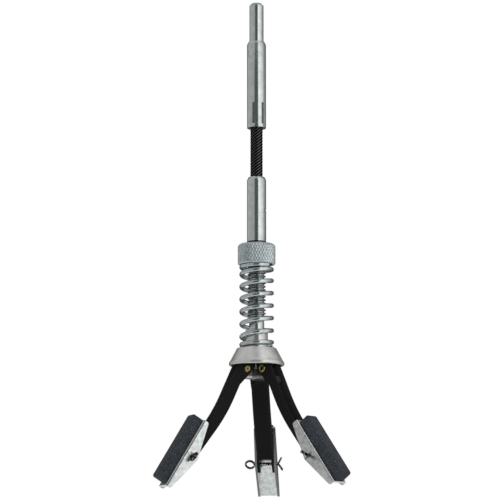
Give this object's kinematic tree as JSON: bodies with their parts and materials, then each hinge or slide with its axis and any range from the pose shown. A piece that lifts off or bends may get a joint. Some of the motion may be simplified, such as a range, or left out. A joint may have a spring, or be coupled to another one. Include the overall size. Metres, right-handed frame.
{
  "type": "brake cylinder hone",
  "caption": "Brake cylinder hone: spring-loaded arms carry abrasive stones on pivoting shoes, with a knurled adjusting nut and a flexible drive shank for a drill",
  "frame": {"origin": "on the tool's axis at the shank's shoulder, where a drill chuck's jaws stop", "axes": "+Z runs along the tool's axis from the stones to the shank's tip, and -Y is the side that the picture shows"},
  "size_m": [0.0791, 0.0737, 0.2062],
  "materials": {
    "bright_steel": "bright zinc plate with fine turning marks",
    "black_cable": "black wound shaft, slightly oily",
    "knurled_steel": "bright zinc plate, diamond knurl",
    "spring_wire": "bright zinc-plated wire",
    "cast_cup": "matte as cast",
    "hub_steel": "dull zinc plate",
    "black_arm": "satin black paint",
    "brass_rivet": "bright brass",
    "zinc_shoe": "mottled zinc plate",
    "abrasive": "fine charcoal grit",
    "dark_pin": "dark steel wire"
  },
  "bodies": {
    "spindle": {"spindle": "bright_steel", "hub": "hub_steel", "hub_rivet_1": "brass_rivet", "hub_rivet_2": "brass_rivet", "hub_rivet_3": "brass_rivet"},
    "cable": {"flex_cable": "black_cable"},
    "drive_shank": {"drive_shank": "bright_steel"},
    "spring": {"compression_spring": "spring_wire"},
    "nut": {"adjusting_nut": "knurled_steel"},
    "cup": {"spring_cup": "cast_cup"},
    "arm_1": {"arm_1": "black_arm", "split_pin_1": "dark_pin"},
    "shoe_1": {"stone_shoe_1": "zinc_shoe", "honing_stone_1": "abrasive"},
    "arm_2": {"arm_2": "black_arm", "split_pin_2": "dark_pin"},
    "shoe_2": {"stone_shoe_2": "zinc_shoe", "honing_stone_2": "abrasive"},
    "arm_3": {"arm_3": "black_arm", "split_pin_3": "dark_pin"},
    "shoe_3": {"stone_shoe_3": "zinc_shoe", "honing_stone_3": "abrasive"}
  },
  "joints": [
    {"name": "flex_bend_sideways", "type": "hinge", "parent": "spindle", "child": "cable", "pos_m": [0, 0, -0.04775], "axis": [0, 1, 0], "range_deg": [-30, 30], "stiffness_Nm_per_rad": 1, "deforming": ["flex_cable"]},
    {"name": "flex_bend_forward", "type": "hinge", "parent": "cable", "child": "drive_shank", "pos_m": [0, 0, -0.04775], "axis": [1, 0, 0], "range_deg": [-30, 30], "stiffness_Nm_per_rad": 1},
    {"name": "nut_travel", "type": "slide", "parent": "spindle", "child": "spring", "axis": [0, 0, -1], "range_m": [0, 0.01693], "deforming": ["compression_spring"]},
    {"name": "nut_turn", "type": "hinge", "parent": "spring", "child": "nut", "pos_m": [0, 0, -0.091], "axis": [0, 0, -1], "range_deg": [0, 4320]},
    {"name": "cup_travel", "type": "slide", "parent": "spindle", "child": "cup", "axis": [0, 0, 1], "range_m": [0, 0.00104], "stiffness_N_per_m": 10000, "springref_m": -0.003},
    {"name": "arm_swing_1", "type": "hinge", "parent": "spindle", "child": "arm_1", "pos_m": [0.00076, 0.00555, -0.1393], "axis": [-0.9907, 0.1357, 0], "range_deg": [0, 33]},
    {"name": "shoe_tilt_1", "type": "hinge", "parent": "arm_1", "child": "shoe_1", "pos_m": [0.00406, 0.02962, -0.176], "axis": [0.9907, -0.1357, 0], "range_deg": [-18.5, 10]},
    {"name": "arm_swing_2", "type": "hinge", "parent": "spindle", "child": "arm_2", "pos_m": [-0.00518, -0.00212, -0.1393], "axis": [0.3778, -0.9259, 0], "range_deg": [0, 33]},
    {"name": "shoe_tilt_2", "type": "hinge", "parent": "arm_2", "child": "shoe_2", "pos_m": [-0.02768, -0.0113, -0.176], "axis": [-0.3778, 0.9259, 0], "range_deg": [-23.1, 5.4]},
    {"name": "arm_swing_3", "type": "hinge", "parent": "spindle", "child": "arm_3", "pos_m": [0.00442, -0.00343, -0.1393], "axis": [0.6129, 0.7902, 0], "range_deg": [0, 33]},
    {"name": "shoe_tilt_3", "type": "hinge", "parent": "arm_3", "child": "shoe_3", "pos_m": [0.02363, -0.01833, -0.176], "axis": [-0.6129, -0.7902, 0], "range_deg": [-27.5, 1]}
  ],
  "couplings": [
    {"joint": "nut_turn", "follows": "nut_travel", "rad_per_m": 4452.7},
    {"joint": "arm_swing_1", "follows": "cup_travel", "rad_per_m": 555.56},
    {"joint": "arm_swing_2", "follows": "cup_travel", "rad_per_m": 555.56},
    {"joint": "arm_swing_3", "follows": "cup_travel", "rad_per_m": 555.56}
  ]
}
